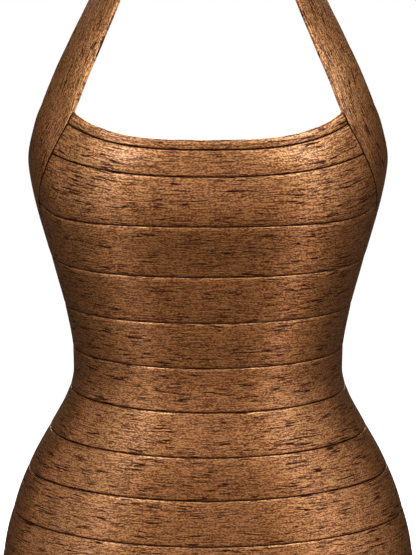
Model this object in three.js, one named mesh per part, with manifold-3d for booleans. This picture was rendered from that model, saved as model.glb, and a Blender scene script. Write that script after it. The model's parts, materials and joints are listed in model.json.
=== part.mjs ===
// Bodycon halter dress of banded foil knit, in its hollow worn form on a general figure of size S.
// Millimetres, +Z up, front towards -Y, the wearer's left towards +X.
// The origin is on the inner face of the neck strap, at the middle of the nape.
import * as THREE from 'three';
import { mergeVertices } from 'three/addons/utils/BufferGeometryUtils.js';
import Module from 'manifold-3d';

// Cloth
const clothThickness = 2;
const edgeDrop = 0.7;            // a sewn edge lies this much lower than the crown of its band
const edgeRoll = 3;              // how far in from the edge the band rises to its crown
const strapRise = 0.4;           // the doubled strap stands this much proud of the bands
const seamGap = 0.3;
const strapSeamGap = 0.6;        // between the strap's long edge and the ends of the bands

// Bands: heights are measured from the middle of the neck strap at the nape
const bandPitch = 39;
const hemHeight = -826;
const sideRow = 4;               // the first band that reaches the side seam
const wedgeTip = 2.5;            // height at which the wedge band under the strap ends
const wedgeStep = 0.5;           // of the search for that place, in degrees
const frontColumns = 20;
const backColumns = 10;

// Strap
const strapStations = 56;
const edgeSamples = 800;         // fine places along its sewn edge, from which the stations are taken
const aimSamples = 4;            // samples before and after a station that give its direction

// Centre-back zip
const zipOpening = 9;            // width of the zip that shows between the cloth edges
const zipTop = -289;
const zipRow = 13;               // the zip ends at the lower edge of this band
const tapeWidth = 15;
const tapeThickness = 0.9;
const tapeDepth = 2.6;           // outer face of the tape below the crown of the cloth
const teethGap = 0.4;            // between the two tapes
const sliderHeight = -291.5;
const sliderLength = 10;
const sliderWidth = 8.2;
const sliderPlate = 1.4;
const bridgeReach = 3.5;         // half the bridge's length along the zip
const bridgeBar = 1;
const bridgeWidth = 1.6;
const postWidth = 1.6;
const postLength = 1.8;
const pullLength = 26;
const pullWidth = 6;
const pullThickness = 1.4;
const pullClearance = 0.35;
const eyeWidth = 2.6;            // hole at the pull's top that the bridge runs through
const eyeLength = 4.9;
const eyeRim = 1.1;

function table(columns, rows) {
  return rows.map((row) => Object.fromEntries(columns.map((column, index) => [column, row[index]])));
}

// Outer form of the cloth: half width, depth before and behind the middle, the middle's shift to the
// back, and how square the front and back halves of the section are (2 is an ellipse)
const figure = table(
  ['height', 'halfWidth', 'front', 'back', 'middle', 'frontPower', 'backPower'],
  [
    [24, 55, 46, 48, 18, 2, 2],
    [0, 57, 48, 50, 16, 2, 2],
    [-30, 72, 56, 58, 13, 2, 2],
    [-72, 112, 76, 84, 7, 2.1, 2.1],
    [-110, 136, 95, 98, 3, 2.2, 2.2],
    [-150, 148.7, 109, 105, 1, 2.3, 2.25],
    [-172, 151.6, 116, 107, 0.5, 2.33, 2.25],
    [-200, 151.4, 121.5, 107, 0, 2.35, 2.25],
    [-235, 145.5, 119, 104, 0, 2.45, 2.2],
    [-272, 136.5, 109, 98, 0, 2.45, 2.15],
    [-320, 125, 98.5, 90, 0, 2.25, 2.1],
    [-355, 118.4, 92.5, 84, 0, 2.15, 2.05],
    [-385, 117.2, 89.5, 82, 0, 2, 2],
    [-410, 123.7, 90.5, 86, 0, 1.95, 2],
    [-440, 140, 93.5, 95, 0, 1.9, 2],
    [-475, 158.7, 94.5, 107, 0, 1.9, 2.05],
    [-515, 173.7, 97, 117, 0, 1.92, 2.1],
    [-560, 184.3, 101.5, 122, 0, 1.95, 2.1],
    [-600, 187.5, 103.5, 121, 0, 2, 2.1],
    [-660, 184, 102, 112, 0, 2.1, 2.1],
    [-740, 173, 97, 99, 0, 2.2, 2.15],
    [-830, 160, 91, 92, 0, 2.3, 2.2],
  ],
);

// Sewn edges of the front: height at the centre, and how much an edge has risen at an angle to the side
const neckline = { height: -175.9, rise: 18.5, angle: 41.4, power: 2.7 };
const frontSeams = table(
  ['height', 'rise', 'angle', 'power'],
  [
    [-183.5, 16, 42.6, 2.45],
    [-204.3, 12.3, 49.3, 2.05],
    [-243.8, 5, 62, 6],
    [-285.8, 2.6, 66, 3],
    [-325, 0, 90, 1],
    [-364, 0, 90, 1],
    [-401.8, 0, 90, 1],
    [-439.2, 0, 90, 1],
    [-476.1, 0, 90, 1],
    [-515.3, 0, 90, 1],
  ],
);
for (let height = frontSeams.at(-1).height - bandPitch; height > hemHeight - bandPitch / 2; height -= bandPitch) {
  frontSeams.push({ height: Math.max(height, hemHeight), rise: 0, angle: 90, power: 1 });
}

// Edge of the strap that the bands are sewn to, from the nape round the front and on to the centre back
const strapEdge = table(
  ['angle', 'height', 'width'],
  [
    [180, 17, 34],
    [150, 15.8, 34],
    [122, 11.5, 34],
    [98, 4, 34],
    [78, -5, 34],
    [62, -17, 34],
    [50, -31.5, 33.5],
    [42.3, -49, 33],
    [38.3, -71, 32.6],
    [37, -94, 33.9],
    [37.3, -113, 35.2],
    [38.9, -132.5, 36.6],
    [40.7, -149.5, 38.5],
    [43.5, -166, 40],
    [48.2, -180.3, 39.2],
    [53.2, -194.5, 38],
    [58.8, -209, 37.3],
    [65, -223, 37],
    [70.6, -238.5, 37],
    [73.9, -254, 37.3],
    [77.8, -270, 37.7],
    [83, -286, 38],
    [91.5, -302, 38.2],
    [105, -314, 38.8],
    [118, -320.9, 39.4],
    [131, -324.2, 39.8],
    [150, -324.6, 39.8],
    [180, -324.6, 39.8],
  ],
).map((row, step) => ({ ...row, step }));

const foilBronze = { color: 0x8a5a33, metalness: 0.7, roughness: 0.45 };
const darkTape = { color: 0x3a2414, metalness: 0, roughness: 0.8 };
const zipMetal = { color: 0xb08a52, metalness: 1, roughness: 0.3 };

const dress = new THREE.Group();

const radians = (angle) => THREE.MathUtils.degToRad(angle);
const degrees = (angle) => THREE.MathUtils.radToDeg(angle);

// Smooth curve through one column of a table, with no overshoot past its rows
function smooth(rows, key, column, at) {
  const last = rows.length - 1;
  const direction = Math.sign(rows[last][key] - rows[0][key]);
  let index = 0;
  while (index < last - 1 && (at - rows[index + 1][key]) * direction > 0) index += 1;
  const slope = (row) => (rows[row + 1][column] - rows[row][column]) / (rows[row + 1][key] - rows[row][key]);
  const tangent = (row) => {
    if (row === 0) return slope(0);
    if (row === last) return slope(last - 1);
    const before = slope(row - 1);
    const after = slope(row);
    if (before * after <= 0) return 0;
    const reachBefore = rows[row][key] - rows[row - 1][key];
    const reachAfter = rows[row + 1][key] - rows[row][key];
    return (before * reachAfter + after * reachBefore) / (reachBefore + reachAfter);
  };
  const reach = rows[index + 1][key] - rows[index][key];
  const share = (at - rows[index][key]) / reach;
  const cube = share ** 3;
  const square = share ** 2;
  return (2 * cube - 3 * square + 1) * rows[index][column]
    + (cube - 2 * square + share) * reach * tangent(index)
    + (3 * square - 2 * cube) * rows[index + 1][column]
    + (cube - square) * reach * tangent(index + 1);
}

const formColumn = (column, height) => smooth(figure, 'height', column, height);

function formHalf(inFront, height) {
  return {
    halfWidth: formColumn('halfWidth', height),
    middle: formColumn('middle', height),
    depth: formColumn(inFront ? 'front' : 'back', height),
    power: formColumn(inFront ? 'frontPower' : 'backPower', height),
  };
}

// How far out a point is: 1 on the outer form, less inside it
function fullness(point) {
  const half = formHalf(point.y < formColumn('middle', point.z), point.z);
  const across = Math.abs(point.x) / half.halfWidth;
  const along = Math.abs(point.y - half.middle) / half.depth;
  return (across ** half.power + along ** half.power) ** (1 / half.power);
}

function outwards(point) {
  const reach = 0.05;
  const difference = (axis) => {
    const ahead = point.clone();
    const behind = point.clone();
    ahead[axis] += reach;
    behind[axis] -= reach;
    return fullness(ahead) - fullness(behind);
  };
  return new THREE.Vector3(difference('x'), difference('y'), difference('z')).normalize();
}

function formPoint(angle, height) {
  const ahead = Math.cos(radians(angle));
  const aside = Math.sin(radians(angle));
  const half = formHalf(ahead >= 0, height);
  const x = half.halfWidth * Math.sign(aside) * Math.abs(aside) ** (2 / half.power);
  const y = half.middle - Math.sign(ahead) * half.depth * Math.abs(ahead) ** (2 / half.power);
  return new THREE.Vector3(x, y, height);
}

function moveOut(point, distance) {
  return point.clone().addScaledVector(outwards(point), distance);
}

function backToForm(point) {
  const middle = formColumn('middle', point.z);
  const scale = 1 / fullness(point);
  return new THREE.Vector3(point.x * scale, middle + (point.y - middle) * scale, point.z);
}

function angleOf(point) {
  const inFront = point.y < formColumn('middle', point.z);
  const half = formHalf(inFront, point.z);
  const aside = Math.min(1, (Math.abs(point.x) / half.halfWidth) ** (half.power / 2));
  const angle = degrees(Math.asin(aside));
  return inFront ? angle : 180 - angle;
}

// Straight line over the form, as a tape measure lies, with a point at each of the distances
function walk(start, direction, distances) {
  const stride = 1;
  const found = [];
  let here = start;
  let heading = direction;
  let gone = 0;
  for (const distance of distances) {
    while (distance - gone > 1e-6) {
      const length = Math.min(stride, distance - gone);
      const next = backToForm(here.clone().addScaledVector(heading, length));
      heading = next.clone().sub(here).normalize();
      here = next;
      gone += length;
    }
    found.push(here.clone());
  }
  return found;
}

// Closed wall between an outer and an inner grid of points, each a list of columns across the piece
function wall(outer, inner) {
  const points = [];
  const faces = [];
  const keep = (grid) => grid.map((column) => column.map((point) => points.push(point) - 1));
  const out = keep(outer);
  const back = keep(inner);
  const quad = (a, b, c, d) => faces.push([a, b, c], [a, c, d]);
  for (let column = 0; column + 1 < out.length; column += 1) {
    const [o, p, i, j] = [out[column], out[column + 1], back[column], back[column + 1]];
    for (let row = 0; row + 1 < o.length; row += 1) quad(o[row], o[row + 1], p[row + 1], p[row]);
    for (let row = 0; row + 1 < i.length; row += 1) quad(i[row + 1], i[row], j[row], j[row + 1]);
    quad(i[0], o[0], p[0], j[0]);
    quad(o.at(-1), i.at(-1), j.at(-1), p.at(-1));
  }
  const close = (o, i, flip) => {
    let a = 0;
    let b = 0;
    while (a < o.length - 1 || b < i.length - 1) {
      const outerNext = (a + 1) / (o.length - 1);
      const innerNext = (b + 1) / (i.length - 1);
      const stepOut = b === i.length - 1 || (a < o.length - 1 && outerNext <= innerNext);
      const face = stepOut ? [o[a], i[b], o[a + 1]] : [o[a], i[b], i[b + 1]];
      faces.push(flip ? [face[0], face[2], face[1]] : face);
      if (stepOut) a += 1;
      else b += 1;
    }
  };
  close(out[0], back[0], false);
  close(out.at(-1), back.at(-1), true);
  let volume = 0;
  for (const [a, b, c] of faces) volume += points[a].dot(points[b].clone().cross(points[c]));
  const geometry = new THREE.BufferGeometry();
  geometry.setFromPoints(points);
  geometry.setIndex(faces.flatMap(([a, b, c]) => (volume > 0 ? [a, b, c] : [a, c, b])));
  return geometry;
}

function addPiece(name, geometry, finish, parent = dress) {
  geometry.computeVertexNormals();
  const mesh = new THREE.Mesh(geometry, new THREE.MeshStandardMaterial({ ...finish, flatShading: true }));
  mesh.name = name;
  parent.add(mesh);
  return mesh;
}

const mirrored = (points) => points.map((column) => column.map((point) => point.clone().setX(-point.x)));

// Shares of the way across a band and how far each place stands off the form
function bandProfile(width, rise = 0, middles = [0.5]) {
  const roll = Math.min(edgeRoll, 0.3 * width) / width;
  const lip = rise - edgeDrop;
  const crown = middles.map((share) => [share, rise]);
  return {
    outer: [[0, lip], [roll, rise - 0.1], ...crown, [1 - roll, rise - 0.1], [1, lip]],
    inner: [0, ...middles, 1].map((share) => [share, -clothThickness]),
  };
}

// Strap: stations along its sewn edge, evenly spaced, each with the direction across the strap
function strapLine(count) {
  const lastStep = strapEdge.length - 1;
  const napeGap = new THREE.Vector3(seamGap / 2, 0, 0);
  const onEdge = (step) => {
    const at = (column) => smooth(strapEdge, 'step', column, step);
    return { point: formPoint(at('angle'), at('height')), width: at('width') };
  };
  const fine = [];
  for (let index = 0; index <= edgeSamples; index += 1) fine.push(onEdge((index / edgeSamples) * lastStep));
  const first = fine.findIndex((place) => place.point.x > napeGap.x);
  const end = fine.findLastIndex((place) => place.point.x > zipOpening / 2);
  const used = fine.slice(first, end + 1);
  const lengths = [0];
  for (let index = 1; index < used.length; index += 1) {
    lengths.push(lengths[index - 1] + used[index].point.distanceTo(used[index - 1].point));
  }
  const stations = [];
  for (let index = 0; index < count; index += 1) {
    const goal = (lengths.at(-1) * index) / (count - 1);
    const place = Math.max(0, lengths.findIndex((length) => length >= goal - 1e-6));
    const before = used[Math.max(0, place - aimSamples)].point;
    const after = used[Math.min(used.length - 1, place + aimSamples)].point;
    const { point, width } = used[place];
    const along = after.clone().sub(before).normalize();
    const across = outwards(point).cross(along);
    if (index === 0 || index === count - 1) across.setX(0);
    across.normalize();
    stations.push({ point, width, across });
  }
  return stations;
}

function strapGrid(stations, side) {
  return stations.map(({ point, width, across }) => {
    const profile = bandProfile(width, strapRise);
    return profile[side].map(([share, out]) => {
      const [place] = walk(point, across, [Math.max(share * width, 1e-3)]);
      return moveOut(place, out);
    });
  });
}

const stations = strapLine(strapStations);
const strapOuter = strapGrid(stations, 'outer');
const strapInner = strapGrid(stations, 'inner');
addPiece('halter_strap_left', wall(strapOuter, strapInner), foilBronze);
addPiece('halter_strap_right', wall(mirrored(strapOuter), mirrored(strapInner)), foilBronze);

// Line that the bands end on, just clear of the strap's sewn edge
const bandLimit = strapLine(400).map(({ point, across }) => {
  const [place] = walk(point, across.clone().negate(), [strapSeamGap]);
  return { angle: angleOf(place), height: place.z };
}).filter((place) => place.height < -100);

function limitAngle(height) {
  const next = bandLimit.findIndex((place) => place.height <= height);
  if (next < 1) return 180;
  const [above, below] = [bandLimit[next - 1], bandLimit[next]];
  const share = (above.height - height) / (above.height - below.height);
  return above.angle + (below.angle - above.angle) * share;
}

function limitHeight(angle) {
  const next = bandLimit.findIndex((place) => place.angle >= angle && place.height < neckline.height);
  const [before, after] = [bandLimit[next - 1], bandLimit[next]];
  const share = (angle - before.angle) / (after.angle - before.angle);
  return before.height + (after.height - before.height) * share;
}

function seamHeight(seam, angle) {
  return seam.height + seam.rise * (Math.abs(angle) / seam.angle) ** seam.power;
}

// Angles where a piece stops short of the side seam, and of a line beside the centre back
function sideAngle(inFront, height) {
  const half = formHalf(inFront, height);
  const angle = degrees(Math.acos((seamGap / 2 / half.depth) ** (half.power / 2)));
  return inFront ? angle : 180 - angle;
}

function backAngle(fromCentre, height) {
  const half = formHalf(false, height);
  return 180 - degrees(Math.asin((fromCentre / half.halfWidth) ** (half.power / 2)));
}

// Grid of a band: its top and bottom are heights by angle, its ends are angles by height
function bandGrid(band, places, columns) {
  const rowHeight = (angle, share) => {
    const top = band.top(angle) - seamGap / 2;
    const bottom = band.bottom(angle) + seamGap / 2;
    return top + (bottom - top) * share;
  };
  const rowEnd = (end, share) => {
    let angle = 60;
    for (let round = 0; round < 12; round += 1) angle = end(rowHeight(angle, share));
    return angle;
  };
  const grid = [];
  for (let column = 0; column <= columns; column += 1) {
    grid.push(places.map(([share, out]) => {
      const start = rowEnd(band.start, share);
      const angle = start + ((rowEnd(band.end, share) - start) * column) / columns;
      return moveOut(formPoint(angle, rowHeight(Math.abs(angle), share)), out);
    }));
  }
  return grid;
}

function bandWall(band, columns, flip = false) {
  const profile = bandProfile(band.top(0) - band.bottom(0), 0, band.middles);
  let outer = bandGrid(band, profile.outer, columns);
  let inner = bandGrid(band, profile.inner, columns);
  if (flip) [outer, inner] = [mirrored(outer), mirrored(inner)];
  return wall(outer, inner);
}

// Bands that end on the curved strap follow it with more places across
const curvedMiddles = [0.25, 0.5, 0.75];

const frontEnd = (height) => Math.min(limitAngle(height), sideAngle(true, height));

function frontBand(name, upper, lower) {
  const band = {
    top: (angle) => seamHeight(upper, angle),
    bottom: (angle) => seamHeight(lower, angle),
    start: (height) => -frontEnd(height),
    end: frontEnd,
    middles: upper.height > frontSeams[sideRow].height ? curvedMiddles : [0.5],
  };
  addPiece(name, bandWall(band, frontColumns), foilBronze);
}

frontBand('neckline_band', neckline, frontSeams[0]);
for (let row = 1; row < frontSeams.length; row += 1) {
  frontBand(`front_band_${String(row).padStart(2, '0')}`, frontSeams[row - 1], frontSeams[row]);
}

const wedgeLower = frontSeams[sideRow].height;
let wedgeEnd = 90;
while (limitHeight(wedgeEnd) - wedgeLower > wedgeTip) wedgeEnd += wedgeStep;

for (let row = sideRow; row < frontSeams.length; row += 1) {
  const upper = frontSeams[row - 1].height;
  const lower = frontSeams[row].height;
  const isWedge = row === sideRow;
  const fromCentre = row <= zipRow ? zipOpening / 2 : seamGap / 2;
  const band = {
    top: (angle) => (isWedge ? limitHeight(Math.max(angle, 90)) + seamGap / 2 : upper),
    bottom: () => lower,
    start: (height) => sideAngle(false, height),
    end: (height) => (isWedge ? wedgeEnd : backAngle(fromCentre, height)),
    middles: [0.5],
  };
  for (const side of ['left', 'right']) {
    const name = `back_band_${String(row).padStart(2, '0')}_${side}`;
    addPiece(name, bandWall(band, isWedge ? backColumns / 2 : backColumns, side === 'right'), foilBronze);
  }
}

// Zip tapes lie inside the cloth, with a place at each seam and halfway between
const zipEnd = frontSeams[zipRow].height;
const tapeHeights = [zipTop];
for (let row = sideRow; row <= zipRow; row += 1) {
  const [upper, lower] = [frontSeams[row - 1].height, frontSeams[row].height];
  tapeHeights.push((upper + lower) / 2, lower);
}
const tapeGrid = (depth) => tapeHeights.map((height) => [teethGap / 2, teethGap / 2 + tapeWidth].map(
  (fromCentre) => moveOut(formPoint(backAngle(fromCentre, height), height), -depth),
));
const tapeOuter = tapeGrid(tapeDepth);
const tapeInner = tapeGrid(tapeDepth + tapeThickness);
addPiece('zip_tape_left', wall(tapeOuter, tapeInner), darkTape);
addPiece('zip_tape_right', wall(mirrored(tapeOuter), mirrored(tapeInner)), darkTape);

// Slider: two plates round the teeth, a post between them and a bridge that carries the pull.
// In its own frame +Y is out of the cloth and +Z is up along the zip.
const wasm = await Module();
wasm.setup();

function solidOf(geometry) {
  geometry.deleteAttribute('normal');
  geometry.deleteAttribute('uv');
  const merged = mergeVertices(geometry, 1e-4);
  const vertProperties = new Float32Array(merged.attributes.position.array);
  const triVerts = new Uint32Array(merged.index.array);
  return new wasm.Manifold(new wasm.Mesh({ numProp: 3, vertProperties, triVerts }));
}

function geometryOf(solid) {
  const mesh = solid.getMesh();
  const geometry = new THREE.BufferGeometry();
  geometry.setAttribute('position', new THREE.BufferAttribute(new Float32Array(mesh.vertProperties), 3));
  geometry.setIndex(new THREE.BufferAttribute(new Uint32Array(mesh.triVerts), 1));
  return geometry;
}

function outline(points) {
  return new THREE.Shape(points.map(([x, y]) => new THREE.Vector2(x, y)));
}

// Extrude an outline drawn in X and Z, from one depth along Y to another
function plate(shape, from, to) {
  const geometry = new THREE.ExtrudeGeometry(shape, { depth: to - from, bevelEnabled: false, curveSegments: 6 });
  geometry.rotateX(Math.PI / 2);
  geometry.translate(0, to, 0);
  return geometry;
}

// Extrude a side outline drawn in Y and Z, centred on X
function sideProfile(shape, width) {
  const geometry = new THREE.ExtrudeGeometry(shape, { depth: width, bevelEnabled: false, curveSegments: 6 });
  geometry.translate(0, 0, -width / 2);
  geometry.applyMatrix4(new THREE.Matrix4().makeBasis(
    new THREE.Vector3(0, 1, 0),
    new THREE.Vector3(0, 0, 1),
    new THREE.Vector3(1, 0, 0),
  ));
  return geometry;
}

const plateOut = -tapeDepth + seamGap + sliderPlate;
const barOut = plateOut + pullClearance + pullThickness / 2;
const innerFace = -tapeDepth - tapeThickness - seamGap;
const bridgeTop = barOut + pullThickness / 2 + pullClearance;

// Corners of the slider's plates, as shares of its half width and half length
const plateCorners = [
  [-0.6, 1], [0.6, 1], [1, 0.5], [1, -0.3], [0.75, -1], [-0.75, -1], [-1, -0.3], [-1, 0.5],
];
const sliderOutline = outline(plateCorners.map(([x, z]) => [(x * sliderWidth) / 2, (z * sliderLength) / 2]));

const bridgeSink = 0.5;          // how far the bridge and the post run into the plates
const bridgeOutline = outline([
  [plateOut - bridgeSink, -bridgeReach],
  [bridgeTop, -bridgeReach],
  [bridgeTop + bridgeBar, -bridgeReach + bridgeBar],
  [bridgeTop + bridgeBar, bridgeReach - bridgeBar],
  [bridgeTop, bridgeReach],
  [plateOut - bridgeSink, bridgeReach],
]);
bridgeOutline.holes.push(new THREE.Path([
  new THREE.Vector2(plateOut, -bridgeReach + bridgeBar),
  new THREE.Vector2(bridgeTop, -bridgeReach + bridgeBar),
  new THREE.Vector2(bridgeTop, bridgeReach - bridgeBar),
  new THREE.Vector2(plateOut, bridgeReach - bridgeBar),
]));

const postTop = sliderLength / 2 - 0.4;
const postOutline = outline([
  [-postWidth / 2, postTop - postLength],
  [postWidth / 2, postTop - postLength],
  [postWidth / 2, postTop],
  [-postWidth / 2, postTop],
]);
const sliderSolid = solidOf(plate(sliderOutline, plateOut - sliderPlate, plateOut))
  .add(solidOf(plate(sliderOutline, innerFace - sliderPlate, innerFace)))
  .add(solidOf(plate(postOutline, innerFace - bridgeSink, plateOut - sliderPlate + bridgeSink)))
  .add(solidOf(sideProfile(bridgeOutline, bridgeWidth)));

const sliderSeat = formPoint(180, sliderHeight);
const sliderLean = Math.atan2(outwards(sliderSeat).z, outwards(sliderSeat).y);
const slider = new THREE.Group();
slider.position.copy(sliderSeat);
slider.rotation.x = sliderLean;
dress.add(slider);
addPiece('zip_slider', geometryOf(sliderSolid), zipMetal, slider);

// Pull: a flat tab with an eye round the slider's bridge, hanging plumb from its top bar
const pullTop = pullThickness / 2;
const eyeSide = eyeWidth / 2 + eyeRim;
const neckEnd = -eyeLength - 0.6;
const shoulder = -eyeLength - 4;
const pullShape = new THREE.Shape();
pullShape.moveTo(-eyeSide, pullTop);
pullShape.lineTo(-eyeSide, neckEnd);
pullShape.lineTo(-pullWidth / 2, shoulder);
pullShape.absarc(0, -pullLength + pullWidth / 2, pullWidth / 2, Math.PI, 2 * Math.PI);
pullShape.lineTo(pullWidth / 2, shoulder);
pullShape.lineTo(eyeSide, neckEnd);
pullShape.lineTo(eyeSide, pullTop);
pullShape.holes.push(new THREE.Path([
  new THREE.Vector2(-eyeWidth / 2, -pullTop),
  new THREE.Vector2(-eyeWidth / 2, -eyeLength),
  new THREE.Vector2(eyeWidth / 2, -eyeLength),
  new THREE.Vector2(eyeWidth / 2, -pullTop),
]));
const pullSolid = solidOf(plate(pullShape, -pullThickness / 2, pullThickness / 2));
const pull = addPiece('zip_pull', geometryOf(pullSolid), zipMetal);
const pullAxis = new THREE.Vector3(0, barOut, 0).applyEuler(slider.rotation).add(sliderSeat);
pull.position.copy(pullAxis);

// Bring the origin to the inner face of the strap at the nape
dress.position.y = clothThickness - formPoint(180, 0).y;

export default dress;
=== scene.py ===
import json
import math

import bmesh
import bpy
import numpy as np
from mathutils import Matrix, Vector

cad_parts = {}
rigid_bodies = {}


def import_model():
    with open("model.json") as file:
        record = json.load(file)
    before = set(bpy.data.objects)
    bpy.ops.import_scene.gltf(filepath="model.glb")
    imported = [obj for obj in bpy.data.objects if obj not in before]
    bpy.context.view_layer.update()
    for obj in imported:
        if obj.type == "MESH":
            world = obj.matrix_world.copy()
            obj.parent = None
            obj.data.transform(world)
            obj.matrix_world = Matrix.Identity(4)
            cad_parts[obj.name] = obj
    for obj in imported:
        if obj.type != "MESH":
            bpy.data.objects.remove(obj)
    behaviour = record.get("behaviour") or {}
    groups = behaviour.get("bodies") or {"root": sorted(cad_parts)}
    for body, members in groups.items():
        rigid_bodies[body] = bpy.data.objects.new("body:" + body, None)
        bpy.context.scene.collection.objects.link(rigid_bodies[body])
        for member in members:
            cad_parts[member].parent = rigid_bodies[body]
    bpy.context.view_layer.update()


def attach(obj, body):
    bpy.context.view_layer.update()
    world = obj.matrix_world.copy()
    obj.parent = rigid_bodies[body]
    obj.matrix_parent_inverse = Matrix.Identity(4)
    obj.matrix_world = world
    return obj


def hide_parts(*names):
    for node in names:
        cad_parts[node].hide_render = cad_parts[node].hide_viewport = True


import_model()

millimetre = 0.001
sharpFrom = {"cloth": 60, "metal": 35}  # degrees between faces at which an edge is shaded sharp
print("frame loaded")

# The form that the cloth lies on, in millimetres from the middle of the neck strap. Each row is a
# level section: half width, depth before and behind the middle, the middle's shift to the back, and
# how square the front and back halves are (2 is an ellipse).
form = {
    "columns": ("height", "halfWidth", "front", "back", "middle", "frontPower", "backPower"),
    "rows": (
        (24, 55, 46, 48, 18, 2, 2),
        (0, 57, 48, 50, 16, 2, 2),
        (-30, 72, 56, 58, 13, 2, 2),
        (-72, 112, 76, 84, 7, 2.1, 2.1),
        (-110, 136, 95, 98, 3, 2.2, 2.2),
        (-150, 148.7, 109, 105, 1, 2.3, 2.25),
        (-172, 151.6, 116, 107, 0.5, 2.33, 2.25),
        (-200, 151.4, 121.5, 107, 0, 2.35, 2.25),
        (-235, 145.5, 119, 104, 0, 2.45, 2.2),
        (-272, 136.5, 109, 98, 0, 2.45, 2.15),
        (-320, 125, 98.5, 90, 0, 2.25, 2.1),
        (-355, 118.4, 92.5, 84, 0, 2.15, 2.05),
        (-385, 117.2, 89.5, 82, 0, 2, 2),
        (-410, 123.7, 90.5, 86, 0, 1.95, 2),
        (-440, 140, 93.5, 95, 0, 1.9, 2),
        (-475, 158.7, 94.5, 107, 0, 1.9, 2.05),
        (-515, 173.7, 97, 117, 0, 1.92, 2.1),
        (-560, 184.3, 101.5, 122, 0, 1.95, 2.1),
        (-600, 187.5, 103.5, 121, 0, 2, 2.1),
        (-660, 184, 102, 112, 0, 2.1, 2.1),
        (-740, 173, 97, 99, 0, 2.2, 2.15),
        (-830, 160, 91, 92, 0, 2.3, 2.2),
    ),
    "napeDepth": 64,  # from the waist's middle back to the inner face of the neck strap
}


def smoothCurve(keys, values):
    # a curve through the rows of a table, with no overshoot past them
    keys = np.asarray(keys, float)
    values = np.asarray(values, float)
    gaps = np.diff(keys)
    slopes = np.diff(values) / gaps
    before, after = slopes[:-1], slopes[1:]
    mean = (before * gaps[1:] + after * gaps[:-1]) / (gaps[:-1] + gaps[1:])
    inner = np.where(before * after > 0, mean, 0)
    tangents = np.concatenate(([slopes[0]], inner, [slopes[-1]]))
    way = 1 if keys[-1] > keys[0] else -1

    def at(place):
        place = np.asarray(place, float)
        index = np.clip(np.searchsorted(keys * way, place * way) - 1, 0, len(keys) - 2)
        share = (place - keys[index]) / gaps[index]
        square, cube = share**2, share**3
        return (
            (2 * cube - 3 * square + 1) * values[index]
            + (cube - 2 * square + share) * gaps[index] * tangents[index]
            + (3 * square - 2 * cube) * values[index + 1]
            + (cube - square) * gaps[index] * tangents[index + 1]
        )

    return at


formHeights = [row[0] for row in form["rows"]]
formCurve = {
    name: smoothCurve(formHeights, [row[column] for row in form["rows"]])
    for column, name in enumerate(form["columns"])
}


def sectionAt(inFront, height):
    depth = np.where(inFront, formCurve["front"](height), formCurve["back"](height))
    power = np.where(inFront, formCurve["frontPower"](height), formCurve["backPower"](height))
    return formCurve["halfWidth"](height), formCurve["middle"](height), depth, power


def formPoint(angle, height):
    # angle in degrees round from the front centre, positive to the wearer's left
    angle, height = np.broadcast_arrays(np.radians(angle), np.asarray(height, float))
    ahead, aside = np.cos(angle), np.sin(angle)
    halfWidth, middle, depth, power = sectionAt(ahead >= 0, height)
    x = halfWidth * np.sign(aside) * np.abs(aside) ** (2 / power)
    y = middle - np.sign(ahead) * depth * np.abs(ahead) ** (2 / power)
    return np.stack([x, y, height], axis=-1)


def fullness(points):
    # 1 on the form, less inside it
    x, y, z = np.moveaxis(points, -1, 0)
    halfWidth, middle, depth, power = sectionAt(y < formCurve["middle"](z), z)
    return ((np.abs(x) / halfWidth) ** power + (np.abs(y - middle) / depth) ** power) ** (1 / power)


def outwards(points):
    reach = 0.05
    steps = np.eye(3) * reach
    slope = np.stack([fullness(points + step) - fullness(points - step) for step in steps], axis=-1)
    return slope / np.linalg.norm(slope, axis=-1, keepdims=True)


def backToForm(points):
    scale = 1 / fullness(points)
    middle = formCurve["middle"](points[..., 2])
    x = points[..., 0] * scale
    y = middle + (points[..., 1] - middle) * scale
    return np.stack([x, y, points[..., 2]], axis=-1)


def angleOf(points):
    x, y, z = np.moveaxis(points, -1, 0)
    inFront = y < formCurve["middle"](z)
    halfWidth, _, _, power = sectionAt(inFront, z)
    angle = np.degrees(np.arcsin(np.minimum(1, (np.abs(x) / halfWidth) ** (power / 2))))
    return np.where(inFront, angle, 180 - angle)


def unit(vectors):
    return vectors / np.linalg.norm(vectors, axis=-1, keepdims=True)


def walkAcross(start, heading, widths, steps):
    # straight lines over the form, as a tape measure lies: (station, step, xyz), steps evenly spaced
    found = [start]
    here, ahead = start, heading
    for _ in range(steps):
        following = backToForm(here + ahead * widths[:, None] / steps)
        ahead = unit(following - here)
        here = following
        found.append(here)
    return np.stack(found, axis=1)


cloth = {
    "thickness": 2,
    "seamGap": 0.3,
    "strapSeamGap": 0.6,
    "strapRise": 0.4,
    "tuck": 0.15,  # the inner face reaches this much further, so that no light shows through a seam
    "bandPitch": 39,
    "hemHeight": -826,
    "columnWidth": 3.6,  # of the mesh, along a band
    "stretch": 1.14,  # worn length of a band over its cut length
    "sewnEdge": ((0, -1.5), (0.1, -1.15), (0.3, -0.8), (0.6, -0.5), (1.1, -0.26), (2, -0.1), (3.6, 0)),
    "lowerEdge": ((0, -1.5), (0.08, -1.1), (0.2, -0.7), (0.42, -0.38), (0.8, -0.17), (1.6, -0.05), (3.2, 0)),
    "edgeShare": 0.45,  # an edge's curve takes at most this share of the width
    "rowPitch": 3,  # of the mesh, across a band
    "crown": 0.25,
    "pucker": 0.1,
    "puckerFade": 2.2,
    "puckerWaves": (7, 11, 17, 29),
    "softDents": 0.175,
    "dentWaves": (70, 110, 190),
    "dentSeed": 50,
    "grainShift": (731.0, 43.0),  # each piece is cut from another place of the knit
    "endRounds": 14,  # passes that bring the end of each row onto its limit
}

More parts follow.
